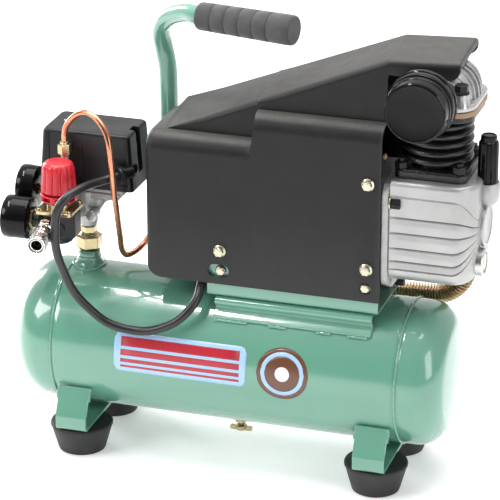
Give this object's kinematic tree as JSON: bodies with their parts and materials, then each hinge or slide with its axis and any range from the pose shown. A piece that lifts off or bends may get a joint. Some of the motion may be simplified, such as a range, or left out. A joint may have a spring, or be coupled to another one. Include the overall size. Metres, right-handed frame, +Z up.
{
  "type": "hotdog air compressor",
  "caption": "Portable direct-drive air compressor: motor under a sloping shroud and finned pump on a horizontal tank, with carry handle, pressure switch, regulator, gauges and quick coupler.",
  "frame": {"origin": "middle of the footprint at floor level, under the rubber feet", "axes": "+X along the tank from the gauge end to the pump end, +Z up, -Y is the front with the label"},
  "size_m": [0.4976, 0.2036, 0.4756],
  "materials": {
    "green_paint": "gloss mint-green enamel",
    "shroud_plastic": "grained charcoal moulding",
    "black_plastic": "satin black",
    "gloss_black": "gloss black",
    "black_rubber": "matt",
    "foam_rubber": "closed-cell foam",
    "red_plastic": "gloss red",
    "cast_aluminium": "as-cast, satin",
    "cast_iron_black": "black painted casting",
    "steel": "bright",
    "chrome_plate": "polished",
    "brass": "machined",
    "copper": "drawn copper tube",
    "gasket": "pressed fibre gasket",
    "glass": "clear sight glass",
    "filter_foam": "open-cell foam"
  },
  "bodies": {
    "chassis": {"pump_cylinder": "cast_iron_black", "crankcase": "cast_aluminium", "shroud": "shroud_plastic", "tank_head_left": "green_paint", "tank_head_right": "green_paint", "motor_lead": "black_rubber", "tank_cylinder": "green_paint", "cylinder_head": "cast_aluminium", "unloader_tube": "copper", "handle_tube": "green_paint", "discharge_tube": "brass", "manifold": "cast_aluminium", "filter_cover": "gloss_black", "motor_fan_end_bell": "cast_aluminium", "motor_pump_end_bell": "cast_aluminium", "filter_housing": "gloss_black", "tank_gauge": "black_plastic", "handle_grip": "foam_rubber", "regulator_body": "cast_iron_black", "cable_gland": "black_rubber", "outlet_gauge": "black_plastic", "coupler_body": "chrome_plate", "switch_cover": "black_plastic", "regulator_bonnet": "cast_iron_black", "rubber_foot_front_left": "black_rubber", "rubber_foot_rear_left": "black_rubber", "rubber_foot_front_right": "black_rubber", "rubber_foot_rear_right": "black_rubber", "motor_stator": "steel", "check_valve": "brass", "safety_valve_body": "brass", "main_bearing": "steel", "filter_element": "filter_foam", "crankcase_cover": "cast_aluminium", "union_fitting": "brass", "drain_valve_body": "brass", "oil_sight_glass": "glass", "valve_plate": "gasket", "switch_base": "black_plastic", "run_capacitor": "black_plastic", "foot_strap_left": "green_paint", "foot_strap_right": "green_paint", "unloader_nut": "brass", "saddle_rail_front": "green_paint", "saddle_rail_rear": "green_paint", "motor_tray": "green_paint"},
    "rotor": {"rotor_shaft": "steel", "cooling_fan": "black_plastic", "crankshaft": "steel"},
    "connecting_rod": {"connecting_rod": "cast_aluminium"},
    "piston": {"piston": "cast_aluminium"},
    "regulator_knob": {"regulator_knob": "red_plastic"},
    "regulator_lock_ring": {"regulator_lock_ring": "red_plastic"},
    "auto_off_lever": {"auto_off_lever": "red_plastic"},
    "tank_gauge_needle": {"tank_gauge_needle": "red_plastic"},
    "outlet_gauge_needle": {"outlet_gauge_needle": "red_plastic"},
    "coupler_sleeve": {"coupler_sleeve": "chrome_plate"},
    "drain_valve_knob": {"drain_valve_knob": "brass"},
    "safety_valve_ring": {"safety_valve_ring": "steel"},
    "breather_cap": {"breather_cap": "black_plastic"}
  },
  "joints": [
    {"name": "motor_spin", "type": "hinge", "parent": "chassis", "child": "rotor", "pos_m": [0.08425, 0.01712, 0.28], "axis": [1, 0, 0], "continuous": true},
    {"name": "crank_pin", "type": "hinge", "parent": "rotor", "child": "connecting_rod", "pos_m": [0.18625, 0.01712, 0.291], "axis": [1, 0, 0], "continuous": true},
    {"name": "piston_stroke", "type": "slide", "parent": "chassis", "child": "piston", "axis": [0, 0, -1], "range_m": [0, 0.022]},
    {"name": "knob_turn", "type": "hinge", "parent": "chassis", "child": "regulator_knob", "pos_m": [-0.19205, -0.03288, 0.29], "axis": [0, 0, 1], "range_deg": [-720, 360]},
    {"name": "lock_ring_turn", "type": "hinge", "parent": "chassis", "child": "regulator_lock_ring", "pos_m": [-0.19205, -0.03288, 0.277], "axis": [0, 0, 1], "range_deg": [0, 360]},
    {"name": "auto_off_switch", "type": "hinge", "parent": "chassis", "child": "auto_off_lever", "pos_m": [-0.14875, 0.02912, 0.316], "axis": [0, 1, 0], "range_deg": [0, 20]},
    {"name": "tank_needle_turn", "type": "hinge", "parent": "chassis", "child": "tank_gauge_needle", "pos_m": [-0.24415, 0.00912, 0.267], "axis": [1, 0, 0], "range_deg": [0, 270], "stiffness_Nm_per_rad": 0.00004},
    {"name": "outlet_needle_turn", "type": "hinge", "parent": "chassis", "child": "outlet_gauge_needle", "pos_m": [-0.24415, -0.03288, 0.249], "axis": [1, 0, 0], "range_deg": [0, 270], "stiffness_Nm_per_rad": 0.00004},
    {"name": "sleeve_slide", "type": "slide", "parent": "chassis", "child": "coupler_sleeve", "axis": [-0.1403, 0.9869, 0.0802], "range_m": [0, 0.005], "stiffness_N_per_m": 400, "springref_m": -0.004},
    {"name": "drain_screw", "type": "hinge", "parent": "chassis", "child": "drain_valve_knob", "pos_m": [-0.01575, 0.01712, 0.022], "axis": [0, 0, 1], "range_deg": [0, 720]},
    {"name": "safety_pull", "type": "slide", "parent": "chassis", "child": "safety_valve_ring", "axis": [0, 1, 0], "range_m": [0, 0.004], "stiffness_N_per_m": 600, "springref_m": -0.004},
    {"name": "breather_pull", "type": "slide", "parent": "chassis", "child": "breather_cap", "axis": [0, 0, 1], "range_m": [0, 0.018]}
  ],
  "couplings": [
    {"joint": "crank_pin", "follows": "motor_spin", "ratio": -1}
  ]
}
